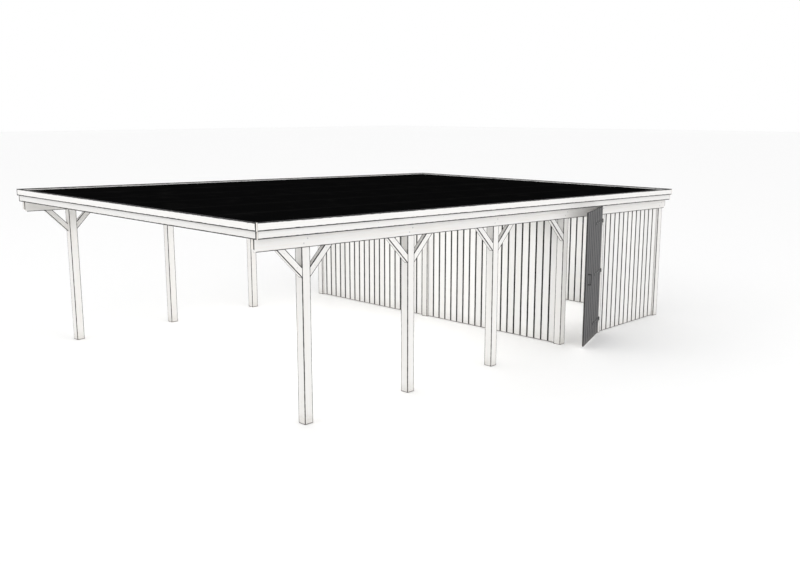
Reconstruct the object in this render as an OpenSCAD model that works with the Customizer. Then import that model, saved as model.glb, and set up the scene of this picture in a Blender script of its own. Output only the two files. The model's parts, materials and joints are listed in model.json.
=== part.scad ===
// Flat-roofed double carport with a timber store across its back end.
// Millimetres, +Z up. Cars drive in from -Y, and the store's door is on the +X side.
// The origin is the middle of the foot of the post in the store's front wall.

/* [Roof] */
// Length of the roof from front to back
roof_length = 9000; // [7500:50:11000]
// Width of the roof
roof_width = 6000; // [4800:50:7400]
// Fall of the roof towards the back, in degrees
roof_fall = 1.2; // [0.5:0.1:2]
// How far the roof runs past the first posts
front_overhang = 700; // [500:10:900]
// How far the roof runs past the last posts
back_overhang = 140; // [110:5:300]
// How far the roof runs past the posts on each side
side_overhang = 100; // [70:5:200]
// Thickness of the roof boarding
deck_thickness = 18; // [12:1:28]
// Thickness of the roofing sheet
roofing_thickness = 4; // [2:0.5:8]

/* [Posts and beams] */
// Headroom under the beams at the first posts
headroom = 2090; // [1950:5:2600]
// Side of the square posts
post_size = 120; // [95:1:150]
// Thickness of the beams along both sides
beam_thickness = 60; // [45:1:75]
// Height of the beams
beam_height = 200; // [160:5:260]
// Size of the corner cut off each lower beam end
beam_corner = 38; // [10:1:60]
// Depth of each slanted brace
brace_depth = 85; // [60:1:110]
// Reach of each brace along the beam and down the post
brace_reach = 345; // [280:5:450]
// Height of the rafters
rafter_height = 140; // [110:5:200]
// Thickness of the rafters
rafter_thickness = 60; // [45:1:80]
// Widest distance between rafters
rafter_spacing = 600; // [450:10:700]
// How deep the rafters are notched over the beams
rafter_seat = 50; // [20:1:70]

/* [Fascia boards] */
// Height of the upper fascia boards
upper_fascia = 97; // [85:1:150]
// Height of the lower fascia boards that shows under the upper ones
lower_fascia = 90; // [60:1:105]
// Thickness of all fascia boards
fascia_thickness = 20; // [16:1:28]

/* [Store] */
// Depth of the store between the middles of its posts
store_depth = 2890; // [2200:10:3600]
// Thickness of the walls
wall_thickness = 48; // [36:1:75]
// Gap under the walls
wall_ground_gap = 5; // [2:1:50]
// Clear width of the doorway
door_opening = 900; // [750:5:1200]

/* [Door] */
// How far the door stands open, in degrees
door_ajar = 20; // [5:1:60]
// Thickness of the door's boards
door_thickness = 24; // [18:1:34]
// Thickness of the ledges and braces on the door's inner face
ledge_thickness = 22; // [16:1:30]
// Width of the ledges and braces
ledge_width = 95; // [70:1:120]
// Lap of the door over the post at its free edge
door_lap = 112; // [20:1:112]
// Gap between the shut door and the posts behind it
door_gap = 6; // [6:0.5:12]
// Gap between the ground and the door
door_ground_gap = 28; // [20:1:60]
// Gap between the door and the fascia over it
door_top_gap = 10; // [7:1:40]
// Thickness of the hinge straps and plates
strap_thickness = 5; // [3:0.5:8]
// Height of the hinge straps
strap_height = 40; // [30:1:50]
// Length of the hinge straps
strap_length = 450; // [300:10:600]
// Radius of the hinge pins
pin_radius = 6; // [5:0.5:8]
// Distance of the outer hinges from the ends of the door
hinge_inset = 230; // [150:5:350]
// Height of the pull handle over the ground
pull_height = 1050; // [850:10:1250]
// Length of the grip of the pull handle
pull_length = 160; // [120:5:220]
// Radius of the grip of the pull handle
pull_radius = 7; // [5:0.5:9]

/* [Hidden] */
$fn = 48;
// Gap left beside timbers that slide together
joint_gap = 0.3;
// Radial play of the hinge pins, and the play under the hinge eyes
pin_play = 0.05;
eye_play = 0.5;
// Wall of the hinge eyes, and how far the pins stand out of them
eye_wall = 4.5;
pin_end = 10;
// Plate and arm of the hinge hooks
hook_plate_width = 50;
hook_plate_height = 110;
hook_arm = 10;
// Gap that moving pieces keep
moving_gap = 5;
// Lap of the door over the post at its hinges
hinge_lap = 8;
// Stand-off and foot of the pull handle, and its distance from the door's edge
pull_reach = 42;
pull_foot_radius = 16;
pull_foot_thickness = 4;
pull_edge = 170;
// Gap between the ends of the ledges and the posts beside them when the door is shut
ledge_gap = 12;
// A size that passes every piece
beyond = roof_length + roof_width;

// Rows of posts: four equal steps of the open bay, then the back of the store
car_bays = 3;
bay = (roof_length - front_overhang - back_overhang - post_size - store_depth) / car_bays;
row_y = [-3 * bay, -2 * bay, -bay, 0, store_depth];

// Faces across the width
roof_half = roof_width / 2;
post_out = roof_half - side_overhang;
post_in = post_out - post_size;
beam_in = post_out - beam_thickness;

// Levels over the beams' underside, square to the roof
rafter_low = beam_height - rafter_seat;
rafter_top = rafter_low + rafter_height;
deck_top = rafter_top + deck_thickness;
upper_low = rafter_low + lower_fascia;

// Ends of the roof along its fall, from the first row of posts
roof_front = -(front_overhang + post_size / 2);
roof_back = roof_front + roof_length;
rim = 2 * fascia_thickness;

// Rafters: equal steps to the store's front wall, equal steps over the store, one at the back edge
first_rafter = roof_front + rim + rafter_thickness / 2;
last_rafter = roof_back - rim - rafter_thickness / 2;
wall_v = along_roof(0);
back_v = along_roof(store_depth);
front_steps = ceil((wall_v - first_rafter) / rafter_spacing);
store_steps = ceil((back_v - wall_v) / rafter_spacing);
rafter_v = concat(
    [for (i = [0 : front_steps]) first_rafter + i * (wall_v - first_rafter) / front_steps],
    [for (i = [1 : store_steps]) wall_v + i * (back_v - wall_v) / store_steps],
    [last_rafter]);

// Doorway and hinge line
door_post_y = post_size / 2 + door_opening + post_size / 2;
door_post_front = door_post_y - post_size / 2;
eye_radius = pin_radius + pin_play + eye_wall;
hinge_edge = eye_radius + moving_gap + 0.5;
hinge_x = post_out + door_gap + door_thickness + strap_thickness / 2;
hinge_y = door_post_front + hinge_lap + hinge_edge;
door_width = hinge_y - hinge_edge - (post_size / 2 - door_lap);
door_top = roof_z(hinge_y, rafter_low) - door_top_gap;
strap_z = [
    door_ground_gap + hinge_inset,
    (door_ground_gap + door_top) / 2,
    door_top - hinge_inset];
ledge_ends = [hinge_y - post_size / 2 - ledge_gap, hinge_y - door_post_front + ledge_gap];

// Distance along the roof of the point over y, and height over y of a level square to the roof
function along_roof(y) = (y - row_y[0]) / cos(roof_fall);
function roof_z(y, level) = headroom - (y - row_y[0]) * tan(roof_fall) + level / cos(roof_fall);

module box(x0, x1, y0, y1, z0, z1) {
    translate([x0, y0, z0]) cube([x1 - x0, y1 - y0, z1 - z0]);
}

// Draws the outline, given as [y, z] points, and makes it run from x0 to x1
module side_outline(x0, x1, points) {
    translate([x0, 0, 0]) rotate([90, 0, 90]) linear_extrude(x1 - x0) polygon(points);
}

// The frame of the roof: x across, y down the fall, z square to the roof from the beams' underside
module in_roof() {
    translate([0, row_y[0], headroom]) rotate([-roof_fall, 0, 0]) children();
}

module above_roof_level(level) {
    in_roof() box(-beyond, beyond, -beyond, beyond, level, beyond);
}

// Posts. The outer half of a side post carries the beam, the inner half stands behind it.
module side_post(y) {
    difference() {
        box(post_in, post_out, y - post_size / 2, y + post_size / 2, 0, beyond);
        above_roof_level(rafter_low);
        in_roof() box(beam_in - joint_gap, beyond, -beyond, beyond, 0, beyond);
    }
}

module wall_post(y) {
    difference() {
        box(-post_size / 2, post_size / 2, y - post_size / 2, y + post_size / 2, 0, beyond);
        above_roof_level(rafter_low);
    }
}

// Beams and braces
module side_beam() {
    front = roof_front + rim;
    back = roof_back - rim;
    in_roof() side_outline(beam_in, post_out, [
        [front, beam_corner], [front + beam_corner, 0], [back - beam_corner, 0], [back, beam_corner],
        [back, beam_height], [front, beam_height]]);
}

// One brace. way is -1 towards the front of the post in this row and 1 towards its back.
module brace(row, way) {
    face = row_y[row] + way * post_size / 2;
    level = roof_z(face, 0);
    inner = brace_reach - brace_depth * sqrt(2);
    over = brace_depth;
    difference() {
        side_outline(beam_in, post_out, [
            [face, level - brace_reach], [face, level - inner],
            [face + way * (inner + over), level + over],
            [face + way * (brace_reach + over), level + over]]);
        above_roof_level(0);
    }
}

module brace_pair(row) {
    brace(row, -1);
    brace(row, 1);
}

// Roof
module rafter(v) {
    end = roof_half - rim;
    in_roof() difference() {
        box(-end, end, v - rafter_thickness / 2, v + rafter_thickness / 2, rafter_low, rafter_top);
        for (side = [-1, 1])
            translate([side * (beam_in + post_out) / 2, v, 0])
                box(-beam_thickness / 2 - joint_gap, beam_thickness / 2 + joint_gap,
                    -rafter_thickness, rafter_thickness, 0, beam_height);
    }
}

module roof_sheet(low, thickness) {
    half = roof_half - fascia_thickness;
    in_roof() box(-half, half, roof_front + fascia_thickness, roof_back - fascia_thickness,
        low, low + thickness);
}

// Fascia boards. inset is 0 for the upper boards and one thickness for the lower ones.
module end_fascia(front, inset, low, height) {
    outer = front ? roof_front + inset : roof_back - inset - fascia_thickness;
    in_roof() box(-(roof_half - inset), roof_half - inset, outer, outer + fascia_thickness,
        low, low + height);
}

module side_fascia(inset, low, height) {
    in_roof() box(roof_half - inset - fascia_thickness, roof_half - inset,
        roof_front + inset + fascia_thickness, roof_back - inset - fascia_thickness,
        low, low + height);
}

// Walls of the store
module cross_wall(y) {
    difference() {
        box(post_size / 2 + joint_gap, post_in - joint_gap,
            y - wall_thickness / 2, y + wall_thickness / 2, wall_ground_gap, beyond);
        above_roof_level(rafter_low);
    }
}

module side_wall(y0, y1) {
    middle = (post_in + post_out) / 2;
    difference() {
        box(middle - wall_thickness / 2, middle + wall_thickness / 2,
            y0 + joint_gap, y1 - joint_gap, wall_ground_gap, beyond);
        above_roof_level(0);
    }
}

// Door. Its pieces are drawn shut around the hinge line, with the leaf towards -Y.
module on_door() {
    translate([hinge_x, hinge_y, 0]) rotate([0, 0, door_ajar]) children();
}

module leaf() {
    box(-strap_thickness / 2 - door_thickness, -strap_thickness / 2,
        -hinge_edge - door_width, -hinge_edge, door_ground_gap, door_top);
}

// Three ledges at the hinges' heights, and two braces that rise from the hinge side
module ledges() {
    back = -strap_thickness / 2 - door_thickness;
    front = back - ledge_thickness;
    rise = ledge_width * sqrt(2);
    for (z = strap_z)
        box(front, back, -ledge_ends[0], -ledge_ends[1], z - ledge_width / 2, z + ledge_width / 2);
    for (i = [0, 1])
        side_outline(front, back, [
            [-ledge_ends[1], strap_z[i]], [-ledge_ends[1], strap_z[i] + rise],
            [-ledge_ends[0], strap_z[i + 1]], [-ledge_ends[0], strap_z[i + 1] - rise]]);
}

module strap(z) {
    difference() {
        union() {
            box(-strap_thickness / 2, strap_thickness / 2, -strap_length, 0,
                z - strap_height / 2, z + strap_height / 2);
            translate([0, 0, z - strap_height / 2]) cylinder(r = eye_radius, h = strap_height);
        }
        translate([0, 0, z - strap_height]) cylinder(r = pin_radius + pin_play, h = 2 * strap_height);
    }
}

module pull() {
    y = -hinge_edge - door_width + pull_edge;
    face = -strap_thickness / 2;
    ends = [pull_height - pull_length / 2, pull_height + pull_length / 2];
    for (z = ends) translate([face, y, z]) rotate([0, 90, 0]) {
        cylinder(r = pull_foot_radius, h = pull_foot_thickness);
        cylinder(r = pull_radius, h = pull_reach);
    }
    for (z = ends) translate([face + pull_reach, y, z]) sphere(r = pull_radius);
    translate([face + pull_reach, y, ends[0]]) cylinder(r = pull_radius, h = pull_length);
}

module hook(z) {
    low = z - strap_height / 2 - eye_play - hook_arm;
    translate([hinge_x, hinge_y, 0]) {
        translate([0, 0, low]) cylinder(r = eye_radius, h = hook_arm);
        box(post_out - hinge_x, 0, -eye_radius, eye_radius, low, low + hook_arm);
        translate([0, 0, low]) cylinder(r = pin_radius, h = hook_arm + eye_play + strap_height + pin_end);
    }
    box(post_out, post_out + strap_thickness,
        hinge_y - eye_radius, hinge_y - eye_radius + hook_plate_width,
        low + hook_arm / 2 - hook_plate_height / 2, low + hook_arm / 2 + hook_plate_height / 2);
}

module right_post_1() color("gainsboro") side_post(row_y[0]);
module right_post_2() color("gainsboro") side_post(row_y[1]);
module right_post_3() color("gainsboro") side_post(row_y[2]);
module right_post_4() color("gainsboro") side_post(row_y[3]);
module right_post_5() color("gainsboro") side_post(row_y[4]);
module left_post_1() color("gainsboro") mirror([1, 0, 0]) side_post(row_y[0]);
module left_post_2() color("gainsboro") mirror([1, 0, 0]) side_post(row_y[1]);
module left_post_3() color("gainsboro") mirror([1, 0, 0]) side_post(row_y[2]);
module left_post_4() color("gainsboro") mirror([1, 0, 0]) side_post(row_y[3]);
module left_post_5() color("gainsboro") mirror([1, 0, 0]) side_post(row_y[4]);
module front_wall_post() color("gainsboro") wall_post(row_y[3]);
module back_wall_post() color("gainsboro") wall_post(row_y[4]);
module door_post() color("gainsboro") side_post(door_post_y);
module right_beam() color("whitesmoke") side_beam();
module left_beam() color("whitesmoke") mirror([1, 0, 0]) side_beam();
module right_braces_1() color("silver") brace_pair(0);
module right_braces_2() color("silver") brace_pair(1);
module right_braces_3() color("silver") brace_pair(2);
module right_brace_4() color("silver") brace(3, -1);
module left_braces_1() color("silver") mirror([1, 0, 0]) brace_pair(0);
module left_braces_2() color("silver") mirror([1, 0, 0]) brace_pair(1);
module left_braces_3() color("silver") mirror([1, 0, 0]) brace_pair(2);
module left_brace_4() color("silver") mirror([1, 0, 0]) brace(3, -1);
module rafters() color("burlywood") for (v = rafter_v) rafter(v);
module roof_boarding() color("tan") roof_sheet(rafter_top, deck_thickness);
module roofing() color("black") roof_sheet(deck_top, roofing_thickness);
module lower_fascia_front() color("gainsboro") end_fascia(true, fascia_thickness, rafter_low, rafter_height);
module lower_fascia_back() color("gainsboro") end_fascia(false, fascia_thickness, rafter_low, rafter_height);
module lower_fascia_left() color("gainsboro")
    mirror([1, 0, 0]) side_fascia(fascia_thickness, rafter_low, rafter_height);
module lower_fascia_right() color("gainsboro") side_fascia(fascia_thickness, rafter_low, rafter_height);
module upper_fascia_front() color("white") end_fascia(true, 0, upper_low, upper_fascia);
module upper_fascia_back() color("white") end_fascia(false, 0, upper_low, upper_fascia);
module upper_fascia_left() color("white") mirror([1, 0, 0]) side_fascia(0, upper_low, upper_fascia);
module upper_fascia_right() color("white") side_fascia(0, upper_low, upper_fascia);
module front_wall_left() color("ivory") mirror([1, 0, 0]) cross_wall(row_y[3]);
module front_wall_right() color("ivory") cross_wall(row_y[3]);
module back_wall_left() color("ivory") mirror([1, 0, 0]) cross_wall(row_y[4]);
module back_wall_right() color("ivory") cross_wall(row_y[4]);
module left_wall() color("ivory")
    mirror([1, 0, 0]) side_wall(post_size / 2, store_depth - post_size / 2);
module right_wall() color("ivory")
    side_wall(door_post_y + post_size / 2, store_depth - post_size / 2);
module door_leaf() color("lightgray") on_door() leaf();
module door_ledges() color("gainsboro") on_door() ledges();
module hinge_straps() color("dimgray") on_door() for (z = strap_z) strap(z);
module hinge_hooks() color("gray") for (z = strap_z) hook(z);
module door_pull() color("dimgray") on_door() pull();

right_post_1();
right_post_2();
right_post_3();
right_post_4();
right_post_5();
left_post_1();
left_post_2();
left_post_3();
left_post_4();
left_post_5();
front_wall_post();
back_wall_post();
door_post();
right_beam();
left_beam();
right_braces_1();
right_braces_2();
right_braces_3();
right_brace_4();
left_braces_1();
left_braces_2();
left_braces_3();
left_brace_4();
rafters();
roof_boarding();
roofing();
lower_fascia_front();
lower_fascia_back();
lower_fascia_left();
lower_fascia_right();
upper_fascia_front();
upper_fascia_back();
upper_fascia_left();
upper_fascia_right();
front_wall_left();
front_wall_right();
back_wall_left();
back_wall_right();
left_wall();
right_wall();
door_leaf();
door_ledges();
hinge_straps();
hinge_hooks();
door_pull();
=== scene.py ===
# %% [markdown]
# # A timber carport with a store
# This lesson dresses the measured frame of a flat-roofed carport. The frame brings every post, beam, wall
# and hinge at its true size. Blender's share is what a joiner and a painter would add: eased edges, single
# boards with shadow gaps, screws, roofing felt, paint and light.
#
# The first cell has to load the frame, because every later step reads its sizes and places from it.

# %% Load the frame
import json
import math
import random

import bmesh
import bpy
import numpy as np
from mathutils import Matrix, Vector


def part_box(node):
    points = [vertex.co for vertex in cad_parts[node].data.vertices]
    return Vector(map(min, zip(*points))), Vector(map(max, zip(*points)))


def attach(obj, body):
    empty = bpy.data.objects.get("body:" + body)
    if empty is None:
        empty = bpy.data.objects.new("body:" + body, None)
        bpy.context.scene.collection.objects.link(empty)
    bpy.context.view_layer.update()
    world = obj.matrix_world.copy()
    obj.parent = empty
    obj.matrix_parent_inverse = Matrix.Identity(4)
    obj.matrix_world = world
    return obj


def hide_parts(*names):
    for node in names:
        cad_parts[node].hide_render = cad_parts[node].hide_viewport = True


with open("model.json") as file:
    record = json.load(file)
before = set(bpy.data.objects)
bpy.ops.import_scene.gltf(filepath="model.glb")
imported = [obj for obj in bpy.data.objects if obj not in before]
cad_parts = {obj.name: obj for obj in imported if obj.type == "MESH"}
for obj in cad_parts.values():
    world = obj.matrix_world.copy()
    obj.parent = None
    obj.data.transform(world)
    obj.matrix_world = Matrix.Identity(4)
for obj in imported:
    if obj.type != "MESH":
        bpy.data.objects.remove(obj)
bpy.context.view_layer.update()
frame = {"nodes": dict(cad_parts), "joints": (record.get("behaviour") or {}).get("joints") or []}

nodes = frame["nodes"]

# %% [markdown]
# ## Directions
# A plank looks right only if its grain runs along it, so every timber needs to know three directions: along
# its length, across its face and through its thickness. The roof falls gently to the back, and its timbers
# lie in that slope. The fall is measured from the top of the left wall, which was cut to it, and isn't
# typed in again.

# %% Measure the fall of the roof and name the directions
MM = 0.001
X, Y, Z = Vector((1, 0, 0)), Vector((0, 1, 0)), Vector((0, 0, 1))


def corners_of(node):
    """All corner points of a frame node as an array."""
    return np.array([v.co for v in nodes[node].data.vertices], float)


def top_line(node, axis):
    """The straight line that the node's top follows along an axis, as a function of that coordinate."""
    points = corners_of(node)
    middle = (points[:, 2].min() + points[:, 2].max()) / 2
    high = points[points[:, 2] > middle]
    if np.ptp(high[:, axis]) < 0.1:
        return lambda place: float(high[:, 2].min())
    slope, start = np.polyfit(high[:, axis], high[:, 2], 1)
    return lambda place: float(slope * place + start)


left_top = top_line("left_wall", 1)
fall = -math.atan(left_top(1) - left_top(0))
down_fall = Vector((0, math.cos(fall), -math.sin(fall)))
off_roof = Vector((0, math.sin(fall), math.cos(fall)))
print("the roof falls", round(math.degrees(fall), 2), "degrees to the back")

# %% [markdown]
# ## The door's own directions
# The door stands ajar at rest. It is easiest to build shut, as flat boards in a row, and then to swing into
# place around its hinge line. The joint in the frame's record gives both the hinge line and the angle,
# since its lowest value shuts the door.

# %% Read the hinge line and the rest angle of the door
joint = frame["joints"][0]
hinge = Vector(joint["pos_m"])
ajar = math.radians(-joint["range_deg"][0])
swing = Matrix.Translation(hinge) @ Matrix.Rotation(ajar, 4, "Z") @ Matrix.Translation(-hinge)
unswing = swing.inverted()
door_out = (swing.to_3x3() @ X).normalized()
door_side = (swing.to_3x3() @ Y).normalized()


def shut_box(node):
    """The corners of a door piece's box when the door is shut."""
    points = [unswing @ Vector(p) for p in corners_of(node)]
    return (Vector([min(p[i] for p in points) for i in range(3)]),
            Vector([max(p[i] for p in points) for i in range(3)]))


print("hinge line at", tuple(round(c, 3) for c in hinge), "open", round(math.degrees(ajar), 1), "degrees")

# %% [markdown]
# ## A pile of timbers
# One piece, such as a wall's cladding, is many boards in one mesh. The pile below collects them. With each
# board it stores where every corner lies inside that board, how big the board is and a random seed. These
# three mesh attributes let one paint finish give each board its own grain, and find each board's edges.

# %% Turn a mesh into one piece
def as_piece(name, mesh, material, body, stands_for=()):
    """Link a mesh as one piece, hand it to its body, and hide the frame nodes that it stands for."""
    piece = bpy.data.objects.new(name, mesh)
    bpy.context.scene.collection.objects.link(piece)
    mesh.materials.append(material)
    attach(piece, body)
    if stands_for:
        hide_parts(*stands_for)
    return piece


# %% The pile of boards
rng = random.Random(11)


class Pile:
    """Boards that become one mesh, with the attributes that the finishes read."""

    def __init__(self):
        self.points, self.faces, self.place, self.half, self.seed, self.boards = [], [], [], [], [], 0

    def add(self, bm, along, across):
        through = along.cross(across)
        axes = np.array([along, across, through], float)
        bm.verts.index_update()
        points = np.array([v.co for v in bm.verts], float)
        local = points @ axes.T
        low, high = local.min(0), local.max(0)
        start = sum(len(p) for p in self.points)
        self.points.append(points)
        self.faces += [[start + v.index for v in f.verts] for f in bm.faces]
        self.place.append(local - (low + high) / 2)
        self.half.append(np.tile((high - low) / 2, (len(points), 1)))
        self.seed.append(np.full(len(points), rng.random()))
        self.boards += 1
        bm.free()

    def build(self, name, material, body, slot, stands_for=()):
        mesh = bpy.data.meshes.new(name)
        mesh.from_pydata(np.concatenate(self.points).tolist(), [], self.faces)
        for label, kind, values, key in (
                ("place", "FLOAT_VECTOR", self.place, "vector"),
                ("half", "FLOAT_VECTOR", self.half, "vector"),
                ("seed", "FLOAT", self.seed, "value")):
            layer = mesh.attributes.new(label, kind, "POINT")
            layer.data.foreach_set(key, np.concatenate(values).ravel().astype(np.float32))
        mesh.update()
        return as_piece(name, mesh, material, body, stands_for)


print("ready to stack boards")

# %% [markdown]
# ## Eased edges
# No sawn timber has knife edges. A narrow bevel catches the light and draws every post and beam, much as a
# thin line would. The bevel modifier could do this, but the bmesh operator does it at once and keeps the
# result as plain geometry. Frame meshes come as loose triangles, so they are first welded and their flat
# faces joined.

# %% Turn a frame node into clean solids
def solids_of(node):
    """Each separate solid of a frame node as a clean bmesh."""
    whole = bmesh.new()
    whole.from_mesh(nodes[node].data)
    bmesh.ops.remove_doubles(whole, verts=whole.verts, dist=0.02 * MM)
    bmesh.ops.dissolve_limit(whole, angle_limit=math.radians(0.5), verts=whole.verts, edges=whole.edges)
    whole.verts.index_update()
    todo, parts = set(whole.verts), []
    while todo:
        stack, group = [todo.pop()], []
        while stack:
            v = stack.pop()
            group.append(v)
            for edge in v.link_edges:
                other = edge.other_vert(v)
                if other in todo:
                    todo.remove(other)
                    stack.append(other)
        part = bmesh.new()
        copy = {v: part.verts.new(v.co) for v in sorted(group, key=lambda v: v.index)}
        for f in whole.faces:
            if f.verts[0] in copy:
                part.faces.new([copy[v] for v in f.verts])
        parts.append(part)
    whole.free()
    return sorted(parts, key=lambda p: tuple(round(c, 3) for c in sum((v.co for v in p.verts), Vector())))


print("a post has", len(solids_of("right_post_1")[0].faces), "flat faces before easing")

# %% Ease the edges of a solid
def ease(bm, width, steps=2):
    """Bevel every edge by a few millimetres."""
    bmesh.ops.recalc_face_normals(bm, faces=bm.faces)
    bmesh.ops.bevel(bm, geom=list(bm.edges), offset=width, offset_type="OFFSET", segments=steps,
                    profile=0.6, affect="EDGES", clamp_overlap=True)
    return bm


print("and", len(ease(solids_of("right_post_1")[0], 3 * MM).faces), "faces after it")

# %% [markdown]
# ## Shared effects: grain, knots, worn edges, splashes
# Paint on wood isn't one colour. The grain shows through as long soft streaks, knots bleed a little yellow,
# the edges lose their paint first, and rain throws soil at the lowest hand's breadth. Each effect is a node
# group with named sockets. It reads the attributes of the pile, gives a mask or a height, and knows no
# colour itself, so that every finish can use it in its own strength.

# %% A small kit for writing node trees
class Tree:
    """Short forms for adding nodes and links to one node tree."""

    def __init__(self, tree):
        self.tree = tree

    def node(self, kind, inputs=None, **settings):
        made = self.tree.nodes.new(kind)
        for key, value in settings.items():
            setattr(made, key, value)
        for key, value in (inputs or {}).items():
            socket = made.inputs[key]
            if isinstance(value, bpy.types.NodeSocket):
                self.tree.links.new(value, socket)
            else:
                socket.default_value = value
        return made

    def math(self, operation, a, b=0.0, clamp=False):
        return self.node("ShaderNodeMath", {0: a, 1: b}, operation=operation, use_clamp=clamp).outputs[0]

    def vector(self, operation, a, b=(0.0, 0.0, 0.0)):
        return self.node("ShaderNodeVectorMath", {0: a, 1: b}, operation=operation).outputs[0]

    def length(self, a):
        return self.node("ShaderNodeVectorMath", {0: a}, operation="LENGTH").outputs["Value"]

    def parts(self, vector):
        return self.node("ShaderNodeSeparateXYZ", {0: vector}).outputs

    def attribute(self, name):
        return self.node("ShaderNodeAttribute", attribute_name=name, attribute_type="GEOMETRY").outputs

    def noise(self, vector, scale, detail=3.0, rough=0.55):
        return self.node("ShaderNodeTexNoise", {"Vector": vector, "Scale": scale, "Detail": detail,
                                                "Roughness": rough}).outputs["Fac"]

    def ramp(self, value, low, high, to_low=0.0, to_high=1.0):
        """Smoothly map low..high of a value to to_low..to_high."""
        return self.node("ShaderNodeMapRange", {"Value": value, "From Min": low, "From Max": high,
                                                "To Min": to_low, "To Max": to_high},
                         interpolation_type="SMOOTHSTEP").outputs["Result"]

    def mix(self, share, a, b, way="MIX"):
        made = self.node("ShaderNodeMix", data_type="RGBA", blend_type=way)
        for slot, value in ((0, share), (6, a), (7, b)):
            if isinstance(value, bpy.types.NodeSocket):
                self.tree.links.new(value, made.inputs[slot])
            else:
                made.inputs[slot].default_value = value if slot == 0 else (*value, 1.0)
        return made.outputs[2]

    def group(self, group, **inputs):
        made = self.tree.nodes.new("ShaderNodeGroup")
        made.node_tree = group
        for key, value in inputs.items():
            socket = made.inputs[key.replace("_", " ")]
            if isinstance(value, bpy.types.NodeSocket):
                self.tree.links.new(value, socket)
            else:
                socket.default_value = value
        return made.outputs


print("node kit ready")

# %% A helper that starts a node group
def effect(name, inputs, outputs):
    """An empty shader node group with named number sockets."""
    group = bpy.data.node_groups.new(name, "ShaderNodeTree")
    for label, default in inputs:
        socket = group.interface.new_socket(label, in_out="INPUT", socket_type="NodeSocketFloat")
        socket.default_value = default
    for label in outputs:
        group.interface.new_socket(label, in_out="OUTPUT", socket_type="NodeSocketFloat")
    tree = Tree(group)
    given = group.nodes.new("NodeGroupInput").outputs
    result = group.nodes.new("NodeGroupOutput").inputs
    return group, tree, given, result


print("groups get their sockets from effect()")

# %% [markdown]
# ### Grain and knots
# Noise stretched along the board makes streaks, and finer noise makes fibres. A knot is a sawn-through
# branch, a small round spot, so it can't be stretched. The Voronoi texture scatters points in a stretched
# space, but the distance to a point is taken in real metres. The end of a board shows year rings instead of
# streaks.

# %% Node group for grain
END_FACE = 0.4 * MM
grain_group, t, given, result = effect(
    "timber_grain", [("Streak width", 0.02), ("Fibre width", 0.003)], ["Streaks", "Fibres", "End", "Height"])
place, half, seed = t.attribute("place"), t.attribute("half"), t.attribute("seed")
shift = t.vector("MULTIPLY", seed["Vector"], (37.0, 11.0, 23.0))
own = t.vector("ADD", place["Vector"], shift)
bend = t.math("MULTIPLY", t.noise(own, 2.2, 2.0), 0.02)
bent = t.vector("ADD", own, t.node("ShaderNodeCombineXYZ", {"Y": bend, "Z": bend}).outputs[0])
long_streaks, long_fibres = (t.vector("MULTIPLY", bent, (share, 1.0, 1.0)) for share in (0.035, 0.02))
streaks = t.noise(long_streaks, t.math("DIVIDE", 1.0, given["Streak width"]), 4.0)
fibres = t.noise(long_fibres, t.math("DIVIDE", 1.0, given["Fibre width"]), 3.0)
p, h = t.parts(place["Vector"]), t.parts(half["Vector"])
to_end = t.math("SUBTRACT", h[0], t.math("ABSOLUTE", p[0]))
end = t.math("LESS_THAN", to_end, END_FACE)
off_centre = t.vector("MULTIPLY", shift, (0.0, 0.004, 0.006))
pith = t.vector("MULTIPLY", t.vector("ADD", place["Vector"], off_centre), (0.0, 1.0, 1.0))
rings = t.math("SINE", t.math("MULTIPLY", t.length(t.vector("ADD", pith, (0.0, 0.03, 0.05))), 1500.0))
end_rings = t.ramp(rings, -1.0, 1.0)
t.tree.links.new(t.math("ADD", t.math("MULTIPLY", streaks, t.math("SUBTRACT", 1.0, end)),
                        t.math("MULTIPLY", end_rings, end)), result["Streaks"])
t.tree.links.new(fibres, result["Fibres"])
t.tree.links.new(end, result["End"])
t.tree.links.new(t.math("ADD", t.math("MULTIPLY", fibres, 0.6), t.math("MULTIPLY", streaks, 0.4)),
                 result["Height"])
print("grain:", len(grain_group.nodes), "nodes")

# %% Node group for knots
knot_group, t, given, result = effect("timber_knots", [("Size", 0.011)], ["Knot", "Halo"])
place, seed = t.attribute("place"), t.attribute("seed")
own = t.vector("ADD", place["Vector"], t.vector("MULTIPLY", seed["Vector"], (19.0, 7.0, 13.0)))
squeeze = (2.4, 7.0, 7.0)  # knots to a metre along the board, across it and through it
cell = t.node("ShaderNodeTexVoronoi", {"Vector": t.vector("MULTIPLY", own, squeeze), "Scale": 1.0,
                                       "Randomness": 0.9}, feature="F1")
spot = t.vector("DIVIDE", cell.outputs["Position"], squeeze)
away = t.length(t.vector("SUBTRACT", own, spot))
wobble = t.math("MULTIPLY", t.noise(own, 90.0, 2.0), t.math("MULTIPLY", given["Size"], 0.5))
edge = t.math("ADD", given["Size"], wobble)
t.tree.links.new(t.ramp(t.math("DIVIDE", away, edge), 1.1, 0.75), result["Knot"])
t.tree.links.new(t.ramp(t.math("DIVIDE", away, edge), 2.6, 0.9), result["Halo"])
print("knots:", len(knot_group.nodes), "nodes")

# %% [markdown]
# ### Worn edges and edge lines
# Blender can find edges with Pointiness, but that needs a dense mesh. Here each point knows its distance to
# the faces of its own board. On a face one of those distances is nothing, so the second smallest is how far
# away the nearest edge is, exact on any mesh. The same distance draws the edge line: the coat is sanded
# back on the eased edges, and the dark primer under it shows as an even, thin line round every timber. Two
# boards that meet at a corner would draw that line twice, so two more inputs scale it near the ends and
# keep it off the end face.

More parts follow.
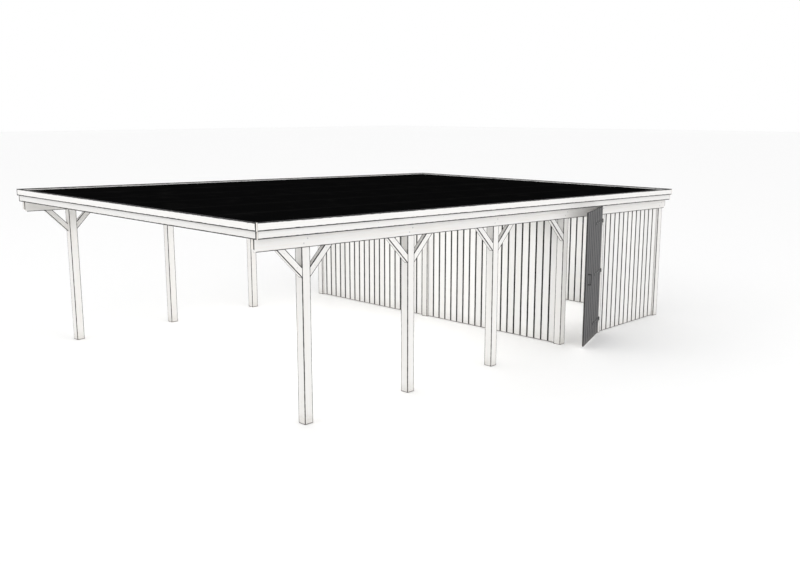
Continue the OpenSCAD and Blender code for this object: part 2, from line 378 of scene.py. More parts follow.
# %% Node group for worn edges and edge lines
edge_group, t, given, result = effect(
    "timber_edges",
    [("Width", 0.003), ("Breakup", 0.6), ("Line", 0.006), ("End scale", 1.0), ("End grain", 1.0)],
    ["Wear", "Line", "Side"])
p, h = t.parts(t.attribute("place")["Vector"]), t.parts(t.attribute("half")["Vector"])
a, b, c = (t.math("SUBTRACT", h[i], t.math("ABSOLUTE", p[i])) for i in range(3))


def second_smallest(to_end):
    """The middle one of the distances to the end, the side and the face."""
    return t.math("MAXIMUM", t.math("MINIMUM", to_end, b),
                  t.math("MINIMUM", t.math("MAXIMUM", to_end, b), c))


near = second_smallest(a)
near_line = second_smallest(t.math("MULTIPLY", a, given["End scale"]))
spots = t.noise(t.attribute("place")["Vector"], 38.0, 4.0, 0.65)
reach = t.math("MULTIPLY", given["Width"], t.math("MULTIPLY", t.ramp(spots, 0.45, 0.72), 2.0))
worn = t.ramp(t.math("DIVIDE", near, t.math("ADD", reach, 0.0002)), 1.0, 0.3)
t.tree.links.new(t.math("MULTIPLY", worn, given["Breakup"]), result["Wear"])
uneven = t.ramp(t.noise(t.attribute("place")["Vector"], 16.0, 3.0), 0.3, 0.7, 0.85, 1.15)
drawn = t.ramp(t.math("DIVIDE", near_line, t.math("MULTIPLY", given["Line"], uneven)), 1.05, 0.75)
at_end = t.math("LESS_THAN", a, 2 * END_FACE)
bare_end = t.math("MULTIPLY", at_end, t.math("SUBTRACT", 1.0, given["End grain"]))
t.tree.links.new(t.math("MULTIPLY", drawn, t.math("SUBTRACT", 1.0, bare_end)), result["Line"])
# The narrow sides of a board are darkened here: primer on its edges, and where boards stand in a row, painted
# shade in the gaps between them.
t.tree.links.new(t.ramp(b, 3.6 * MM, 2.0 * MM), result["Side"])
print("edges:", len(edge_group.nodes), "nodes")

# %% [markdown]
# ### Splashes and soft clouds
# Rain throws soil at the foot of every post. The splash zone only needs the height over the ground, broken
# up by noise. The clouds are nothing but slow noise, which keeps wide faces from looking printed.

# %% Node group for splashes
splash_group, t, given, result = effect("ground_splash", [("Reach", 0.22)], ["Dirt"])
spot = t.node("ShaderNodeTexCoord").outputs["Object"]
height = t.parts(spot)[2]
speckle = t.noise(spot, 55.0, 5.0, 0.7)
cloud = t.noise(spot, 4.0, 2.0)
limit = t.math("MULTIPLY", given["Reach"], t.math("ADD", cloud, 0.4))
fade = t.ramp(t.math("DIVIDE", height, limit), 1.0, 0.0)
t.tree.links.new(t.math("MULTIPLY", fade, t.ramp(speckle, 0.35, 0.7, 0.25, 1.0)), result["Dirt"])
print("splashes:", len(splash_group.nodes), "nodes")

# %% Node group for soft clouds
cloud_group, t, given, result = effect("soft_clouds", [("Scale", 1.0)], ["Cloud"])
slow = t.noise(t.node("ShaderNodeTexCoord").outputs["Object"], given["Scale"], 3.0)
t.tree.links.new(t.ramp(slow, 0.3, 0.7), result["Cloud"])
print("clouds:", len(cloud_group.nodes), "nodes")

# %% [markdown]
# ## Painted timber
# Nearly all of the building is planed softwood with dark primer under off-white paint. Only the door's
# outer boards are stained dark. One function makes every variant: it starts from the paint, lets the
# streaks and knots through, takes a slightly different tone on each board, and then loses paint at the
# edges, shows the primer line and gains soil near the ground. Posts and beams show more grain than the thin
# boards, so each variant has its own strengths.

# %% The colours of paint, wood and soil
PAINT = (0.785, 0.78, 0.77)
# The walls' paint is paler than the frame's: painted light, which lifts the walls that get less light under
# the roof than the frame does.
WALL_PAINT_WITH_PAINTED_LIGHT = (0.83, 0.828, 0.82)
PINE = (0.62, 0.47, 0.30)
PRIMER = (0.022, 0.022, 0.023)
STAIN = (0.095, 0.095, 0.098)
STAINED_PINE = (0.17, 0.155, 0.14)
LIMEWASH = (0.76, 0.75, 0.72)
SOIL = (0.33, 0.29, 0.24)


def between(a, b, share):
    """A colour that holds a share of b in a."""
    return tuple((1 - share) * p + share * q for p, q in zip(a, b))


print("paint with a seventh of the wood showing:", [round(c, 3) for c in between(PAINT, PINE, 0.14)])

# %% A function that mixes a painted timber finish
def painted_timber(name, paint, under, show, knot, wear, dirt, line=0.0, side=0.0, rough=0.62, relief=0.35,
                   width=10 * MM, ends=1.0, end_grain=1.0):
    """Paint over wood. show is how much grain comes through, line how dark the primer shows on the edges,
    and side how dark the narrow sides of the boards are: primer, and in the gaps between boards painted
    shade.
    width is the edge line's. ends makes it that many times narrower near the ends of a board, and
    end_grain is its share on the end face itself."""
    material = bpy.data.materials.new(name)
    material.use_nodes = True
    t = Tree(material.node_tree)
    shader = material.node_tree.nodes["Principled BSDF"]
    shader.inputs["Specular IOR Level"].default_value = 0.35
    grain = t.group(grain_group, Streak_width=0.022, Fibre_width=0.0032)
    knots = t.group(knot_group, Size=0.010)
    edges = t.group(edge_group, Width=0.0035, Breakup=wear, Line=width, End_scale=ends,
                    End_grain=end_grain)
    soil = t.group(splash_group, Reach=0.20)
    cloud = t.group(cloud_group, Scale=1.3)
    own = t.ramp(t.attribute("seed")["Fac"], 0.0, 1.0, 0.965, 1.035)
    tone = t.node("ShaderNodeCombineColor", {0: own, 1: own, 2: own}).outputs[0]
    deep = between(paint, under, 0.14)
    colour = t.mix(t.math("MULTIPLY", t.ramp(grain["Streaks"], 0.35, 0.68), show), paint, deep)
    colour = t.mix(t.math("MULTIPLY", t.ramp(grain["Fibres"], 0.5, 0.75), show * 0.6), colour,
                   tuple(c * 0.93 for c in deep))
    colour = t.mix(t.math("MULTIPLY", cloud["Cloud"], 0.35), colour, tuple(p * 0.975 for p in paint))
    colour = t.mix(1.0, colour, tone, "MULTIPLY")
    colour = t.mix(t.math("MULTIPLY", knots["Halo"], knot * 0.4), colour, between(paint, under, 0.25))
    colour = t.mix(t.math("MULTIPLY", knots["Knot"], knot), colour, tuple(u * 0.8 for u in under))
    colour = t.mix(t.math("MULTIPLY", grain["End"], 0.35), colour, between(paint, under, 0.45))
    colour = t.mix(edges["Wear"], colour, under)
    colour = t.mix(t.math("MULTIPLY", edges["Line"], line), colour, PRIMER)
    # The boards' narrow sides take the primer colour: partly primer, partly painted shade in the gaps between
    # boards.
    colour = t.mix(t.math("MULTIPLY", edges["Side"], side), colour, PRIMER)
    colour = t.mix(t.math("MULTIPLY", soil["Dirt"], dirt), colour, SOIL)
    t.tree.links.new(colour, shader.inputs["Base Color"])
    dull = t.math("ADD", t.math("MULTIPLY", grain["Fibres"], 0.12), t.math("MULTIPLY", edges["Wear"], 0.2))
    t.tree.links.new(t.math("ADD", dull, rough - 0.06, clamp=True), shader.inputs["Roughness"])
    height = t.math("SUBTRACT", grain["Height"], t.math("MULTIPLY", edges["Wear"], 0.35))
    bump = t.node("ShaderNodeBump", {"Height": height, "Strength": relief, "Distance": 0.6 * MM})
    t.tree.links.new(bump.outputs[0], shader.inputs["Normal"])
    return material


print("painted_timber() is ready")

# %% Mix the timber finishes
# side darkens the narrow sides of the boards with the primer colour: real primer, and where boards stand in a
# row with gaps, painted shade in those gaps.
frame_paint = painted_timber("painted_frame_timber", PAINT, PINE, show=0.8, knot=0.10, wear=0.25, dirt=0.35,
                             line=1.0)
FASCIA = dict(show=0.55, knot=0.06, wear=0.2, dirt=0.0, line=1.0, width=14 * MM)
side_fascia_paint = painted_timber("painted_side_fascia", PAINT, PINE, ends=8.0, **FASCIA)
end_fascia_paint = painted_timber("painted_end_fascia", PAINT, PINE, ends=0.6, end_grain=0.0, **FASCIA)
# painted light: the walls take the paler paint, to make up for the shade of the roof over them
wall_paint_and_painted_light = painted_timber("painted_wall_boards", WALL_PAINT_WITH_PAINTED_LIGHT, PINE, show=0.75, knot=0.10, wear=0.2,
                            dirt=0.30, line=0.85, side=1.0, width=8 * MM)
door_paint = painted_timber("painted_door_timber", PAINT, PINE, show=0.8, knot=0.12, wear=0.3, dirt=0.35,
                            line=0.6, side=0.6, width=7 * MM)
door_stain = painted_timber("stained_door_boards", STAIN, STAINED_PINE, show=1.0, knot=0.4, wear=0.25,
                            dirt=0.2, line=0.95, side=1.0, width=8 * MM)
roof_wash = painted_timber("limewashed_roof_timber", LIMEWASH, PINE, show=1.0, knot=0.25, wear=0.15, dirt=0.0,
                           line=0.25, side=0.6, rough=0.7, relief=0.5)
print("timber finishes:", [m.name for m in bpy.data.materials if m.name.split("_")[0] in
                           ("painted", "stained", "limewashed")])

# %% [markdown]
# ## Felt, fleece, zinc and black iron
# The roof is covered with black sheet, dull and finely sanded. A shiny black would mirror the sky at the
# low angles from which a flat roof is seen, so its reflection is turned down at the shader's own socket.
# Behind the gaps between the boards lies black fleece. Screws and nuts are galvanised steel, with the
# blotchy bloom of zinc crystals, and the hinges and the pull are black lacquered iron.

# %% A helper that starts a plain finish
def plain_finish(name, rough, specular, metal=0.0):
    material = bpy.data.materials.new(name)
    material.use_nodes = True
    shader = material.node_tree.nodes["Principled BSDF"]
    shader.inputs["Roughness"].default_value = rough
    shader.inputs["Specular IOR Level"].default_value = specular
    shader.inputs["Metallic"].default_value = metal
    return material, Tree(material.node_tree), shader


def emboss(t, shader, height, strength, distance):
    """Let a height feed the shader's normal."""
    made = t.node("ShaderNodeBump", {"Height": height, "Strength": strength, "Distance": distance})
    t.tree.links.new(made.outputs[0], shader.inputs["Normal"])


print("plain finishes start from one helper")

# %% Felt: sand, dust and the paler line of each lap
felt, t, shader = plain_finish("black_roofing_felt", 0.95, 0.0)
spot = t.node("ShaderNodeTexCoord").outputs["Object"]
sand = t.noise(spot, 900.0, 2.0, 0.7)
patch = t.group(cloud_group, Scale=0.9)["Cloud"]
dust = t.math("MULTIPLY", t.ramp(t.noise(spot, 2.6, 5.0, 0.62), 0.5, 0.78), 0.5)
colour = t.mix(t.ramp(sand, 0.35, 0.7), (0.0016, 0.0016, 0.0017), (0.0046, 0.0046, 0.0047))
colour = t.mix(t.math("MULTIPLY", patch, 0.5), colour, (0.0024, 0.0024, 0.0025))
colour = t.mix(dust, colour, (0.0090, 0.0088, 0.0085))
seam = t.math("MULTIPLY", t.attribute("lap")["Fac"], 0.8)
colour = t.mix(seam, colour, (0.0170, 0.0168, 0.0165))
t.tree.links.new(colour, shader.inputs["Base Color"])
emboss(t, shader, sand, 0.4, 0.8 * MM)
print("made", felt.name)

# %% Fleece
fleece, t, shader = plain_finish("black_fleece", 0.95, 0.1)
fuzz = t.noise(t.node("ShaderNodeTexCoord").outputs["Object"], 700.0, 3.0)
t.tree.links.new(t.mix(t.ramp(fuzz, 0.3, 0.7), (0.010, 0.010, 0.011), (0.022, 0.022, 0.023)),
                 shader.inputs["Base Color"])
emboss(t, shader, fuzz, 0.3, 0.5 * MM)
print("made", fleece.name)

# %% Zinc: crystals and a trace of rust
zinc, t, shader = plain_finish("galvanised_steel", 0.42, 0.5, 1.0)
spot = t.node("ShaderNodeTexCoord").outputs["Object"]
bloom = t.node("ShaderNodeTexVoronoi", {"Vector": spot, "Scale": 140.0}, feature="F1")
tone = t.parts(bloom.outputs["Color"])[0]
colour = t.mix(tone, (0.40, 0.41, 0.42), (0.60, 0.61, 0.62))
rust = t.ramp(t.noise(spot, 60.0, 5.0, 0.7), 0.66, 0.74)
colour = t.mix(t.math("MULTIPLY", rust, 0.5), colour, (0.24, 0.13, 0.07))
t.tree.links.new(colour, shader.inputs["Base Color"])
t.tree.links.new(t.ramp(tone, 0.0, 1.0, 0.34, 0.52), shader.inputs["Roughness"])
emboss(t, shader, t.noise(spot, 320.0, 3.0), 0.2, 0.3 * MM)
print("made", zinc.name)

# %% Black iron: a hammered lacquer
black_iron, t, shader = plain_finish("black_lacquered_iron", 0.5, 0.4)
hammer = t.noise(t.node("ShaderNodeTexCoord").outputs["Object"], 160.0, 3.0)
t.tree.links.new(t.mix(t.ramp(hammer, 0.35, 0.65), (0.016, 0.016, 0.017), (0.030, 0.030, 0.031)),
                 shader.inputs["Base Color"])
t.tree.links.new(t.ramp(hammer, 0.3, 0.7, 0.42, 0.6), shader.inputs["Roughness"])
emboss(t, shader, hammer, 0.35, 0.4 * MM)
print("made", black_iron.name)

# %% [markdown]
# ## Posts, beams and braces
# These timbers already have their true joints: the posts are notched for the beams, and the braces are cut
# to the slope. So each one keeps its frame shape and only gains eased edges and grain. A brace's grain
# follows its slant, which is found from the side of its post that it stands on.

# %% A helper that dresses a frame node
EASE = 3 * MM


def dress(node, directions, material, slot, width=EASE):
    """Replace a frame node by the same timbers with eased edges and grain."""
    pile = Pile()
    for solid in solids_of(node):
        middle = sum((v.co for v in solid.verts), Vector()) / len(solid.verts)
        along, across = directions(middle) if callable(directions) else directions
        pile.add(ease(solid, width), along, across)
    pile.build(node + "_timber", material, "carport", slot, (node,))


def brace_directions(post_y):
    """A rule that tells a brace's directions from the side of its post that it stands on."""
    def pick(middle):
        way = 1 if middle.y > post_y else -1
        return Vector((0, way, 1)).normalized(), X
    return pick


print("timbers get edges eased by", EASE / MM, "mm")

# %% Dress the posts, beams and braces
side_rows = {side: [f"{side}_post_{i}" for i in range(1, 6)] for side in ("right", "left")}
for name in side_rows["right"] + side_rows["left"] + ["front_wall_post", "back_wall_post", "door_post"]:
    dress(name, (Z, X), frame_paint, "frame_timber")
for side in side_rows:
    dress(f"{side}_beam", (down_fall, X), frame_paint, "frame_timber")
    for i in range(1, 5):
        low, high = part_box(f"{side}_post_{i}")
        node = f"{side}_braces_{i}" if i < 4 else f"{side}_brace_4"
        dress(node, brace_directions((low.y + high.y) / 2), frame_paint, "frame_timber", 2.5 * MM)

# %% [markdown]
# ## Rafters and fascia
# The rafters lie across the building, the fascia boards run round its edge in two steps. They are dressed
# in the same way, with a finer bevel because planed boards have crisper edges than posts.

# %% Dress the rafters and the fascia boards
dress("rafters", (X, down_fall), roof_wash, "roof_timber", 2 * MM)
for row in ("upper", "lower"):
    for end in ("front", "back"):
        dress(f"{row}_fascia_{end}", (X, off_roof), end_fascia_paint, "fascia_boards", 2 * MM)
    for side in ("left", "right"):
        dress(f"{row}_fascia_{side}", (down_fall, off_roof), side_fascia_paint, "fascia_boards", 2 * MM)

# %% [markdown]
# ## A board
# Cladding is made board by board. A board is a box whose top may slope, with a small chamfer on its edges.
# The helper takes two corners and a rule for the top, so the same helper serves walls, door and roof.

# %% A helper that makes one board
def board(low, high, top=None, chamfer=1.6 * MM, turn=None):
    """A chamfered box between two corners. top(x, y) lowers or raises its upper corners."""
    bm = bmesh.new()
    corner = {}
    for ix, x in enumerate((low[0], high[0])):
        for iy, y in enumerate((low[1], high[1])):
            for iz, z in enumerate((low[2], top(x, y) if top else high[2])):
                corner[ix, iy, iz] = bm.verts.new((x, y, z))
    for face in (((0, 0, 0), (0, 1, 0), (1, 1, 0), (1, 0, 0)), ((0, 0, 1), (1, 0, 1), (1, 1, 1), (0, 1, 1)),
                 ((0, 0, 0), (1, 0, 0), (1, 0, 1), (0, 0, 1)), ((0, 1, 0), (0, 1, 1), (1, 1, 1), (1, 1, 0)),
                 ((0, 0, 0), (0, 0, 1), (0, 1, 1), (0, 1, 0)), ((1, 0, 0), (1, 1, 0), (1, 1, 1), (1, 0, 1))):
        bm.faces.new([corner[key] for key in face])
    ease(bm, chamfer, 1)
    if turn:
        bmesh.ops.transform(bm, matrix=turn, verts=bm.verts)
    return bm


print("one board has", len(board((0, 0, 0), (0.12, 0.018, 2)).faces), "faces")

# %% [markdown]
# ## Walls of the store
# A wall is two skins of upright boards with black fleece between them. The boards keep a gap that reads as
# a dark line, and their sides in that gap are darkened in the paint, partly as primer and partly as painted
# shade. Their joints are counted in even steps from one fixed joint or end, so a board at the other end is
# cut narrower, as a joiner would leave it. Both faces are boarded, because the doorway shows the inside.

# %% Where the boards of a wall meet
BOARD_STEP = 136.6 * MM
SHADOW_GAP = 17 * MM
NARROWEST = 25 * MM


def joints_between(start, end, anchor):
    """The places between start and end where two boards meet, counted in steps from the anchor."""
    first = math.ceil((start + NARROWEST - anchor) / BOARD_STEP)
    last = math.floor((end - NARROWEST - anchor) / BOARD_STEP)
    return [anchor + k * BOARD_STEP for k in range(first, last + 1)]


# %% A helper that screws one wall board
BOARD_SCREW = (3.6 * MM, 0.5 * MM)  # radius and height of the head
PAIRED = 90 * MM  # boards wider than this get two screws side by side
screws = {"carport": [], "door": []}


def screw_board(a, b, run, surface, out, tall):
    """Screws near the foot, the middle and the top of a board that runs from a to b along its wall."""
    for height in (0.11, 0.5 * tall, tall - 0.10):
        for side in ((-1, 1) if b - a > PAIRED else (0,)):
            spot = [0, 0, height + rng.uniform(-2, 2) * MM]
            spot[run], spot[1 - run] = (a + b) / 2 + side * (b - a) * 0.31, surface
            screws["carport"].append((Vector(spot), out, *BOARD_SCREW))


print("board screws have heads of", 2 * BOARD_SCREW[0] / MM, "mm")

# %% A helper that boards both faces of a wall
SKIN = 17 * MM


def clad(node, anchor_low, anchor_high, run):
    """Board both faces of a wall. run is 0 for a wall across the building and 1 for one along it."""
    low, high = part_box(node)
    line = top_line(node, run)
    top = lambda x, y: line((x, y)[run]) - 0.5 * MM
    deep = 1 - run
    skins, core = Pile(), Pile()
    inner_low, inner_high = list(low), list(high)
    inner_low[deep] += SKIN
    inner_high[deep] -= SKIN
    inner_low[2] += 4 * MM
    core.add(board(inner_low, inner_high, top=lambda x, y: top(x, y) - 2 * MM), Z, (X, Y)[run])
    for face, anchor in ((-1, anchor_low), (1, anchor_high)):
        cuts = joints_between(low[run], high[run], anchor)
        starts = [low[run]] + [c + SHADOW_GAP / 2 for c in cuts]
        ends = [c - SHADOW_GAP / 2 for c in cuts] + [high[run]]
        for a, b in zip(starts, ends):
            proud = rng.uniform(0, 0.6) * MM
            one, two = [0, 0, low.z + rng.uniform(0, 2) * MM], [0, 0, 0]
            one[run], two[run] = a, b
            if face < 0:
                one[deep], two[deep] = low[deep] + proud, low[deep] + SKIN
            else:
                one[deep], two[deep] = high[deep] - SKIN, high[deep] - proud
            skins.add(board(one, two, top), Z, (X, Y)[run])
            surface = one[deep] if face < 0 else two[deep]
            screw_board(a, b, run, surface, (X, Y)[deep] * face, top(a, a))
    skins.build(node + "_boards", wall_paint_and_painted_light, "carport", "wall_boards", (node,))
    core.build(node + "_fleece", fleece, "carport", "roofing")
    return skins.boards


print("each skin is", SKIN / MM, "mm thick")

# %% Clad the walls
BACK_JOINT = 1071 * MM  # a joint in the face that the doorway shows
right_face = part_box("front_wall_right")[1].x
back_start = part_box("right_wall")[1].y
counts = {}
for node in ("front_wall_left", "front_wall_right"):
    counts[node] = clad(node, right_face, right_face, 0)
for node in ("back_wall_left", "back_wall_right"):
    counts[node] = clad(node, BACK_JOINT, -right_face, 0)
for node in ("left_wall", "right_wall"):
    counts[node] = clad(node, back_start, back_start, 1)
print("boards per wall:", counts)

# %% [markdown]
# ## The door
# The leaf is a row of wider boards over a thin fleece, backed by narrow lining. One textured panel would do
# from afar, but real gaps between real boards keep their dark lines from every side and when the door
# swings. It is built shut, and each board is swung to the rest angle as it joins the pile.

# %% Build the door's boards, fleece and lining
DOOR_FACE = 14 * MM
DOOR_FLEECE = 2 * MM
DOOR_BOARDS = 8
LINING_BOARDS = 12
LINING_GAP = 0.8 * MM
FLEECE_INSET = 4 * MM
low, high = shut_box("door_leaf")
faces, lining, core = Pile(), Pile(), Pile()
step = (high.y - low.y) / DOOR_BOARDS
for k in range(DOOR_BOARDS):
    a = low.y + k * step + (SHADOW_GAP / 2 if k else 0)
    b = low.y + (k + 1) * step - (SHADOW_GAP / 2 if k < DOOR_BOARDS - 1 else 0)
    faces.add(board((high.x - DOOR_FACE, a, low.z), (high.x, b, high.z), turn=swing), Z, door_side)
back = high.x - DOOR_FACE - DOOR_FLEECE
core.add(board((back, low.y + FLEECE_INSET, low.z + FLEECE_INSET),
               (high.x - DOOR_FACE, high.y - FLEECE_INSET, high.z - FLEECE_INSET),
               chamfer=0.3 * MM, turn=swing), Z, door_side)
narrow = (high.y - low.y) / LINING_BOARDS
for k in range(LINING_BOARDS):
    lining.add(board((low.x, low.y + k * narrow + LINING_GAP / 2, low.z),
                     (back, low.y + (k + 1) * narrow - LINING_GAP / 2, high.z),
                     chamfer=2.2 * MM, turn=swing), Z, door_side)
faces.build("door_boards", door_stain, "door", "door_boards", ("door_leaf",))
lining.build("door_lining", door_paint, "door", "door_boards")
core.build("door_fleece", fleece, "door", "roofing")
print("door:", faces.boards, "boards and", lining.boards, "lining boards")

# %% [markdown]
# ### Ledges and braces
# Three level ledges hold the boards flat, and two slanted braces carry the free edge down to the hinges.
# The ledges lie behind the hinge straps, so their heights come from the straps. A brace's ends are cut
# level where they meet the ledges, which gives it six corners. It stops half a millimetre short of the
# ledges' faces, so that the two never share a plane.

# %% Lay the three ledges
LEDGE_WIDTH = 95 * MM
LEDGE_SCREW = (4 * MM, 0.6 * MM)
ledge_low, ledge_high = shut_box("door_ledges")
strap_heights = sorted(sum((v.co.z for v in s.verts)) / len(s.verts) for s in solids_of("hinge_straps"))
ledges = Pile()
for z in strap_heights:
    ledges.add(board((ledge_low.x, ledge_low.y, z - LEDGE_WIDTH / 2),
                     (ledge_high.x, ledge_high.y, z + LEDGE_WIDTH / 2),
                     chamfer=3 * MM, turn=swing), door_side, Z)
    for y in np.linspace(ledge_low.y + 0.06, ledge_high.y - 0.06, DOOR_BOARDS):
        for side in (-1, 1):
            spot = swing @ Vector((ledge_low.x, y, z + side * 26 * MM))
            screws["door"].append((spot, -door_out, *LEDGE_SCREW))
print("ledges at", [round(z, 3) for z in strap_heights])

# %% Lay the two braces between them
rise = LEDGE_WIDTH * math.sqrt(2)
for below, above in zip(strap_heights, strap_heights[1:]):
    bm = bmesh.new()
    foot, head = below + LEDGE_WIDTH / 2, above - LEDGE_WIDTH / 2
    slope = (above - rise - below) / (ledge_high.y - ledge_low.y)
    run_foot = (foot - below) / slope
    outline = [(ledge_high.y, foot), (ledge_high.y, below + rise), (ledge_low.y + run_foot, head),
               (ledge_low.y, head), (ledge_low.y, above - rise), (ledge_high.y - run_foot, foot)]
    rows = [[bm.verts.new((x, y, z)) for y, z in outline] for x in (ledge_low.x + 0.5 * MM, ledge_high.x)]
    bm.faces.new(rows[0])
    bm.faces.new(rows[1][::-1])
    for i in range(len(outline)):
        j = (i + 1) % len(outline)
        bm.faces.new((rows[0][j], rows[0][i], rows[1][i], rows[1][j]))
    bmesh.ops.transform(ease(bm, 2.5 * MM, 1), matrix=swing, verts=bm.verts)
    slant = (swing.to_3x3() @ Vector((0, -1, slope))).normalized()
    ledges.add(bm, slant, slant.cross(door_out))
ledges.build("door_ledge_timbers", door_paint, "door", "door_boards", ("door_ledges",))
print("ledges and braces:", ledges.boards)

# %% [markdown]
# ## Roof boarding and roofing
# From under the roof one sees tongued boards that run with the fall, each row made of lengths that meet
# over a rafter. On top lie sheets of felt, a metre wide, each lapping over the one before by a hand's
# breadth. The laps make low steps, and the sheets are never perfectly flat, so each is a fine grid with a
# little waviness.

# %% A helper that measures a piece in the roof's slope
roof_turn = Matrix.Rotation(-fall, 4, "X")


def flat_box(node):
    """The node's box in the roof's own slope, measured about the origin."""
    points = [roof_turn.inverted() @ Vector(p) for p in corners_of(node)]
    return (Vector([min(p[i] for p in points) for i in range(3)]),
            Vector([max(p[i] for p in points) for i in range(3)]))


print("along its slope the roof is", round(flat_box("roofing")[1].y - flat_box("roofing")[0].y, 3), "m long")

# %% Lay the roof boards
ROOF_ROWS = 50
SHORTEST = 1.5
low, high = flat_box("roof_boarding")
rafter_lines = sorted(sum((roof_turn.inverted() @ v.co).y for v in s.verts) / len(s.verts)
                      for s in solids_of("rafters"))
width = (high.x - low.x) / ROOF_ROWS
deck = Pile()
for k in range(ROOF_ROWS):
    meets = sorted(rng.sample(rafter_lines[3:-3], 2))
    if meets[1] - meets[0] < SHORTEST:
        meets = meets[:1]
    cuts = [low.y] + meets + [high.y]
    for a, b in zip(cuts, cuts[1:]):
        deck.add(board((low.x + k * width + 0.3 * MM, a + 0.4 * MM, low.z),
                       (low.x + (k + 1) * width - 0.3 * MM, b - 0.4 * MM, high.z),
                       chamfer=2.6 * MM, turn=roof_turn), down_fall, X)
deck.build("roof_boards", roof_wash, "carport", "roof_timber", ("roof_boarding",))
print("roof boards:", deck.boards)

# %% Cut the felt into sheets
SHEETS = 6
LAP = 90 * MM
FELT = 3.0 * MM
RIPPLE = 0.9 * MM
WORN_EDGE = 0.8 * MM
low, high = flat_box("roofing")
sheet_width = (high.x - low.x + (SHEETS - 1) * LAP) / SHEETS
shares = (0, 0.004, 0.03, 0.06, 0.09, 0.12, 0.2, 0.3, 0.4, 0.5, 0.6, 0.7, 0.8, 0.9, 0.996, 1)
lines = np.linspace(low.y + 1 * MM, high.y - 1 * MM, 72)
print(SHEETS, "sheets of", round(sheet_width, 3), "m")

# %% A helper that gives the corners of one sheet
def sheet_points(k):
    """Corners of the sheet's lower and upper face, and a mark on those at the start of its lap."""
    start = low.x + k * (sheet_width - LAP)
    wave = [rng.uniform(0, 6.28) for _ in range(4)]
    points, marks = [], []
    for side in (0, 1):
        for x in (start + sheet_width * share for share in shares):
            over = max(0.0, 1 - (x - start) / (LAP * 1.35)) if k else 0.0
            edge = 0.0 if start < x < start + sheet_width else 1.0
            for y in lines:
                ripple = 0.5 + 0.25 * math.sin(1.9 * y + wave[0])
                ripple += 0.25 * math.sin(4.3 * y + 2.1 * x + wave[1])
                ripple *= 0.5 + 0.5 * math.sin(2.7 * x + wave[2])
                lift = (FELT * min(1.0, over * 4) if over else 0.0) + RIPPLE * ripple
                z = low.z + lift + (FELT - edge * WORN_EDGE if side else 0.1 * MM)
                points.append(roof_turn @ Vector((x, y, z)))
                marks.append(1.0 if k and 0 < x - start < sheet_width * 0.02 else 0.0)
    return points, marks


print("a sheet has", 2 * len(shares) * len(lines), "corners")

# %% A helper that joins those corners into faces
def sheet_faces(base):
    """Faces of a closed sheet whose first corner has the number base."""
    nx, ny = len(shares), len(lines)
    at = lambda side, i, j: base + side * nx * ny + i * ny + j
    quads = []
    for i in range(nx - 1):
        for j in range(ny - 1):
            quads.append((at(1, i, j), at(1, i + 1, j), at(1, i + 1, j + 1), at(1, i, j + 1)))
            quads.append((at(0, i, j), at(0, i, j + 1), at(0, i + 1, j + 1), at(0, i + 1, j)))
    for i in range(nx - 1):
        quads.append((at(0, i, 0), at(0, i + 1, 0), at(1, i + 1, 0), at(1, i, 0)))
        quads.append((at(0, i + 1, ny - 1), at(0, i, ny - 1), at(1, i, ny - 1), at(1, i + 1, ny - 1)))
    for j in range(ny - 1):
        quads.append((at(0, 0, j + 1), at(0, 0, j), at(1, 0, j), at(1, 0, j + 1)))
        quads.append((at(0, nx - 1, j), at(0, nx - 1, j + 1), at(1, nx - 1, j + 1), at(1, nx - 1, j)))
    return quads


print("and", len(sheet_faces(0)), "faces")

# %% Roll out the roofing felt
points, quads, laps = [], [], []
for k in range(SHEETS):
    quads += sheet_faces(len(points))
    sheet, marks = sheet_points(k)
    points += sheet
    laps += marks
mesh = bpy.data.meshes.new("roofing_felt")
mesh.from_pydata(points, [], quads)
mesh.attributes.new("lap", "FLOAT", "POINT").data.foreach_set("value", laps)
as_piece("roofing_felt", mesh, felt, "carport", ("roofing",))
print("felt:", SHEETS, "sheets,", len(quads), "faces")

# %% [markdown]
# ## Screws and bolts
# Fixings give a viewer the scale. Each head is a low ring with a dished middle. Beams are bolted to the
# posts with flat heads outside, because the shut door passes close in front of two of the posts, and with
# washers and nuts on the inside. The side fascia boards are screwed to the rafters' ends, and the front and
# back ones in even steps.

# %% A helper that finds places on the beams
beam_under = top_line("right_wall", 1)
beam_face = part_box("right_beam")[1].x
post_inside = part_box("right_post_1")[0].x
post_lines = [(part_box(n)[0].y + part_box(n)[1].y) / 2 for n in side_rows["right"]]
door_line = (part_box("door_post")[0].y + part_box("door_post")[1].y) / 2


def on_roof(x, y, height):
    """A point over y at a height square to the beams' underside."""
    return Vector((x, y, beam_under(y))) + off_roof * height


print("posts at", [round(y, 3) for y in post_lines], "and the door's post at", round(door_line, 3))

# %% Bolt the beams and screw the braces
BOLT = (9 * MM, 0.8 * MM)
BOLT_PLACES = ((-28 * MM, 48 * MM), (28 * MM, 100 * MM))
BRACE_SCREW = (5.5 * MM, 0.5 * MM)
POST_HALF = 60 * MM
BRACE_LINE = 285 * MM  # how far from their corner a brace's middle line meets the beam and the post
BRACE_PLACES = (70 * MM, 250 * MM)
nuts = []
for side in (1, -1):
    for y in post_lines + ([door_line] if side > 0 else []):
        for shift, height in BOLT_PLACES:
            screws["carport"].append((on_roof(side * beam_face, y + shift, height), X * side, *BOLT))
            nuts.append((on_roof(side * post_inside, y + shift, height), -X * side))
    for y in post_lines[:4]:
        for way in ((-1, 1) if y != post_lines[3] else (-1,)):
            for reach in BRACE_PLACES:
                down = beam_under(y) - (BRACE_LINE - reach)
                spot = Vector((side * beam_face, y + way * (POST_HALF + reach), down - 4 * MM))
                screws["carport"].append((spot, X * side, *BRACE_SCREW))
print("bolts:", len(nuts))

